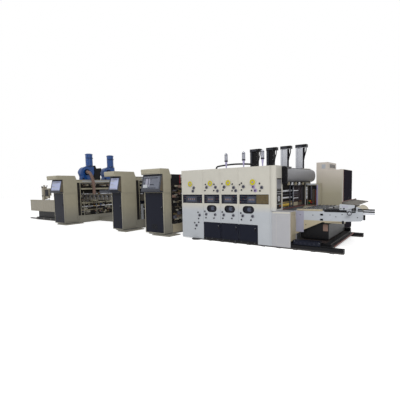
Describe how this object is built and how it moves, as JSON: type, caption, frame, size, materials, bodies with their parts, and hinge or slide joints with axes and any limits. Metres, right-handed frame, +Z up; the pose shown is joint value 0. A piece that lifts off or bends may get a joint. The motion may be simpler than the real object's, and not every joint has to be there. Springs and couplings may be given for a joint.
{
  "type": "flexo folder gluer",
  "caption": "Corrugated board line with printing block on floor rails, infeed table, folding modules with operator consoles, suction fans and a counter ejector.",
  "frame": {"origin": "on the floor, on the line's centreline, at the middle tie of the printing section's floor rails", "axes": "+X along the line towards the infeed table, -Y towards the operator side, +Z up"},
  "size_m": [17.98, 5.0203, 3.48],
  "materials": {
    "cream": "satin",
    "navy": "satin",
    "black": "matt",
    "grey": "satin",
    "steel": "brushed",
    "blue": "gloss",
    "clear": "gloss",
    "rubber": "matt",
    "brass": "satin"
  },
  "bodies": {
    "line": {"base_sill": "cream", "beam_bracket": "black", "console_1_housing": "cream", "console_1_monitor": "grey", "console_2_housing": "cream", "console_2_monitor": "grey", "console_3_housing": "cream", "console_3_monitor": "grey", "cross_beam": "grey", "door_kick_plate": "black", "drive_cabinet": "cream", "ejector_base": "black", "ejector_head": "black", "ejector_tray": "grey", "fan_hose": "rubber", "fan_stand": "black", "far_side_housing": "cream", "feed_brush": "brass", "feed_guard_frame": "grey", "feed_roll_1": "steel", "feed_roll_2": "steel", "floor_rails": "black", "folding_arm_far": "steel", "folding_arm_near": "steel", "folding_module_1": "cream", "folding_module_2": "cream", "folding_module_3": "cream", "lift_column_1": "steel", "lift_column_2": "steel", "lift_column_3": "steel", "lift_column_4": "steel", "near_side_housing": "cream", "outlet_tie": "black", "print_roll_1": "steel", "print_roll_2": "steel", "print_roll_3": "steel", "print_roll_4": "steel", "signal_lamp_1": "clear", "signal_lamp_2": "clear", "signal_lamp_3": "clear", "suction_fan_1": "blue", "suction_fan_2": "blue", "top_frame": "grey", "top_hose": "rubber"},
    "feed_unit": {"feed_carriage": "black", "feed_box": "cream", "feed_far_frame": "cream", "infeed_frame": "grey", "loading_table": "grey", "guide_rail": "black", "side_guide": "steel"},
    "handwheel": {"handwheel": "steel"},
    "access_door_2": {"access_door_2": "navy"},
    "access_door_3": {"access_door_3": "navy"},
    "access_door_4": {"access_door_4": "navy"},
    "console_1_door": {"console_1_door": "navy"},
    "console_2_door": {"console_2_door": "navy"},
    "console_3_door": {"console_3_door": "navy"}
  },
  "joints": [
    {"name": "feed_unit_slide", "type": "slide", "parent": "line", "child": "feed_unit", "axis": [1, 0, 0], "range_m": [0, 0.3]},
    {"name": "handwheel_turn", "type": "hinge", "parent": "feed_unit", "child": "handwheel", "pos_m": [3.26, -1.1003, 0.965], "axis": [0, -1, 0], "continuous": true},
    {"name": "access_door_2_hinge", "type": "hinge", "parent": "line", "child": "access_door_2", "pos_m": [-0.832, -1.488, 0.335], "axis": [0, 0, -1], "range_deg": [0, 90]},
    {"name": "access_door_3_hinge", "type": "hinge", "parent": "line", "child": "access_door_3", "pos_m": [-0.192, -1.488, 0.335], "axis": [0, 0, -1], "range_deg": [0, 90]},
    {"name": "access_door_4_hinge", "type": "hinge", "parent": "line", "child": "access_door_4", "pos_m": [0.418, -1.488, 0.335], "axis": [0, 0, -1], "range_deg": [0, 90]},
    {"name": "console_1_door_hinge", "type": "hinge", "parent": "line", "child": "console_1_door", "pos_m": [-9.912, -1.488, 0.8], "axis": [0, 0, -1], "range_deg": [0, 110]},
    {"name": "console_2_door_hinge", "type": "hinge", "parent": "line", "child": "console_2_door", "pos_m": [-5.352, -1.488, 0.8], "axis": [0, 0, -1], "range_deg": [0, 110]},
    {"name": "console_3_door_hinge", "type": "hinge", "parent": "line", "child": "console_3_door", "pos_m": [-3.442, -1.488, 0.8], "axis": [0, 0, -1], "range_deg": [0, 110]}
  ]
}
